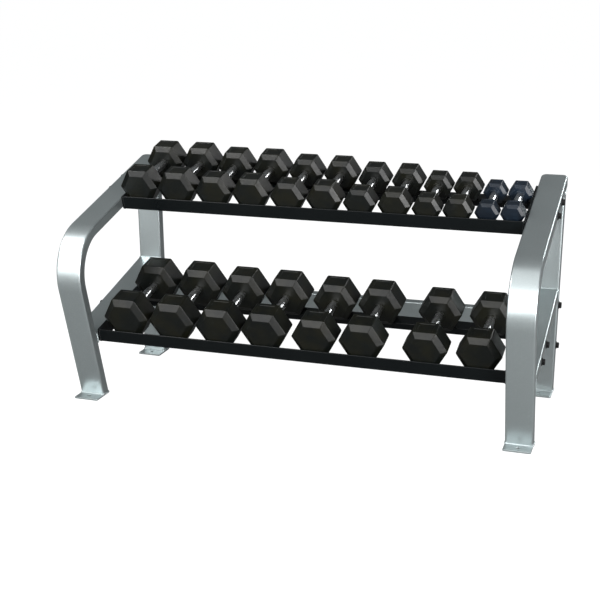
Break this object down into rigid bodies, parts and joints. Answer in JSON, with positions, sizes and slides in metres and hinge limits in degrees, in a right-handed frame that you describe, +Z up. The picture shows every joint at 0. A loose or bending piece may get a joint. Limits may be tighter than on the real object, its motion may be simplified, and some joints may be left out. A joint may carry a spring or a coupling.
{
  "type": "dumbbell rack",
  "caption": "Two-tier sloping dumbbell rack: bent flat-tube side frames joined by lipped black shelf rails and a rear crossbar, holding paired hexagonal dumbbells.",
  "frame": {"origin": "centre of the bounding box at floor level, under the rack", "axes": "+X along the rack towards its right end, +Y to the rear, +Z up; the front faces -Y"},
  "size_m": [1.6106, 0.699, 0.8352],
  "materials": {
    "silver_coat": "satin metallic silver powder coat on steel tube",
    "black_coat": "satin black powder coat on steel",
    "bolt_steel": "black oxide",
    "rubber_head": "matte black rubber moulded over cast iron",
    "handle_chrome": "chrome plate on knurled steel"
  },
  "bodies": {
    "rack": {"left_bent_leg": "silver_coat", "left_top_end_cap": "silver_coat", "left_rear_upright": "silver_coat", "left_lower_brace": "silver_coat", "left_front_foot_plate": "silver_coat", "left_rear_foot_plate": "silver_coat", "left_crossbar_end_plate": "silver_coat", "right_bent_leg": "silver_coat", "right_top_end_cap": "silver_coat", "right_rear_upright": "silver_coat", "right_lower_brace": "silver_coat", "right_front_foot_plate": "silver_coat", "right_rear_foot_plate": "silver_coat", "right_crossbar_end_plate": "silver_coat", "rear_crossbar": "silver_coat", "upper_front_rail": "black_coat", "upper_rear_rail": "black_coat", "left_upper_shelf_end_plate": "black_coat", "right_upper_shelf_end_plate": "black_coat", "lower_front_rail": "black_coat", "lower_rear_rail": "black_coat", "left_lower_shelf_end_plate": "black_coat", "right_lower_shelf_end_plate": "black_coat", "left_upper_shelf_bolt_front": "bolt_steel", "right_upper_shelf_bolt_front": "bolt_steel", "left_upper_shelf_bolt_rear": "bolt_steel", "right_upper_shelf_bolt_rear": "bolt_steel", "left_lower_shelf_bolt_front": "bolt_steel", "right_lower_shelf_bolt_front": "bolt_steel", "left_lower_shelf_bolt_rear": "bolt_steel", "right_lower_shelf_bolt_rear": "bolt_steel", "left_crossbar_bolt_lower": "bolt_steel", "right_crossbar_bolt_lower": "bolt_steel", "left_crossbar_bolt_upper": "bolt_steel", "right_crossbar_bolt_upper": "bolt_steel"},
    "dumbbell_30lb_left": {"dumbbell_30lb_left": "rubber_head"},
    "dumbbell_30lb_right": {"dumbbell_30lb_right": "rubber_head"},
    "dumbbell_25lb_left": {"dumbbell_25lb_left": "rubber_head"},
    "dumbbell_25lb_right": {"dumbbell_25lb_right": "rubber_head"},
    "dumbbell_20lb_left": {"dumbbell_20lb_left": "rubber_head"},
    "dumbbell_20lb_right": {"dumbbell_20lb_right": "rubber_head"},
    "dumbbell_15lb_left": {"dumbbell_15lb_left": "rubber_head"},
    "dumbbell_15lb_right": {"dumbbell_15lb_right": "rubber_head"},
    "dumbbell_10lb_left": {"dumbbell_10lb_left": "rubber_head"},
    "dumbbell_10lb_right": {"dumbbell_10lb_right": "rubber_head"},
    "dumbbell_5lb_left": {"dumbbell_5lb_left": "rubber_head"},
    "dumbbell_5lb_right": {"dumbbell_5lb_right": "rubber_head"},
    "dumbbell_50lb_left": {"dumbbell_50lb_left": "rubber_head"},
    "dumbbell_50lb_right": {"dumbbell_50lb_right": "rubber_head"},
    "dumbbell_45lb_left": {"dumbbell_45lb_left": "rubber_head"},
    "dumbbell_45lb_right": {"dumbbell_45lb_right": "rubber_head"},
    "dumbbell_40lb_left": {"dumbbell_40lb_left": "rubber_head"},
    "dumbbell_40lb_right": {"dumbbell_40lb_right": "rubber_head"},
    "dumbbell_35lb_left": {"dumbbell_35lb_left": "rubber_head"},
    "dumbbell_35lb_right": {"dumbbell_35lb_right": "rubber_head"}
  },
  "joints": [
    {"name": "lift_30lb_left", "type": "slide", "parent": "rack", "child": "dumbbell_30lb_left", "axis": [0, 0, 1], "range_m": [0, 0.25]},
    {"name": "lift_30lb_right", "type": "slide", "parent": "rack", "child": "dumbbell_30lb_right", "axis": [0, 0, 1], "range_m": [0, 0.25]},
    {"name": "lift_25lb_left", "type": "slide", "parent": "rack", "child": "dumbbell_25lb_left", "axis": [0, 0, 1], "range_m": [0, 0.25]},
    {"name": "lift_25lb_right", "type": "slide", "parent": "rack", "child": "dumbbell_25lb_right", "axis": [0, 0, 1], "range_m": [0, 0.25]},
    {"name": "lift_20lb_left", "type": "slide", "parent": "rack", "child": "dumbbell_20lb_left", "axis": [0, 0, 1], "range_m": [0, 0.25]},
    {"name": "lift_20lb_right", "type": "slide", "parent": "rack", "child": "dumbbell_20lb_right", "axis": [0, 0, 1], "range_m": [0, 0.25]},
    {"name": "lift_15lb_left", "type": "slide", "parent": "rack", "child": "dumbbell_15lb_left", "axis": [0, 0, 1], "range_m": [0, 0.25]},
    {"name": "lift_15lb_right", "type": "slide", "parent": "rack", "child": "dumbbell_15lb_right", "axis": [0, 0, 1], "range_m": [0, 0.25]},
    {"name": "lift_10lb_left", "type": "slide", "parent": "rack", "child": "dumbbell_10lb_left", "axis": [0, 0, 1], "range_m": [0, 0.25]},
    {"name": "lift_10lb_right", "type": "slide", "parent": "rack", "child": "dumbbell_10lb_right", "axis": [0, 0, 1], "range_m": [0, 0.25]},
    {"name": "lift_5lb_left", "type": "slide", "parent": "rack", "child": "dumbbell_5lb_left", "axis": [0, 0, 1], "range_m": [0, 0.25]},
    {"name": "lift_5lb_right", "type": "slide", "parent": "rack", "child": "dumbbell_5lb_right", "axis": [0, 0, 1], "range_m": [0, 0.25]},
    {"name": "lift_50lb_left", "type": "slide", "parent": "rack", "child": "dumbbell_50lb_left", "axis": [0, 0, 1], "range_m": [0, 0.15]},
    {"name": "lift_50lb_right", "type": "slide", "parent": "rack", "child": "dumbbell_50lb_right", "axis": [0, 0, 1], "range_m": [0, 0.15]},
    {"name": "lift_45lb_left", "type": "slide", "parent": "rack", "child": "dumbbell_45lb_left", "axis": [0, 0, 1], "range_m": [0, 0.15]},
    {"name": "lift_45lb_right", "type": "slide", "parent": "rack", "child": "dumbbell_45lb_right", "axis": [0, 0, 1], "range_m": [0, 0.15]},
    {"name": "lift_40lb_left", "type": "slide", "parent": "rack", "child": "dumbbell_40lb_left", "axis": [0, 0, 1], "range_m": [0, 0.15]},
    {"name": "lift_40lb_right", "type": "slide", "parent": "rack", "child": "dumbbell_40lb_right", "axis": [0, 0, 1], "range_m": [0, 0.15]},
    {"name": "lift_35lb_left", "type": "slide", "parent": "rack", "child": "dumbbell_35lb_left", "axis": [0, 0, 1], "range_m": [0, 0.15]},
    {"name": "lift_35lb_right", "type": "slide", "parent": "rack", "child": "dumbbell_35lb_right", "axis": [0, 0, 1], "range_m": [0, 0.15]}
  ]
}
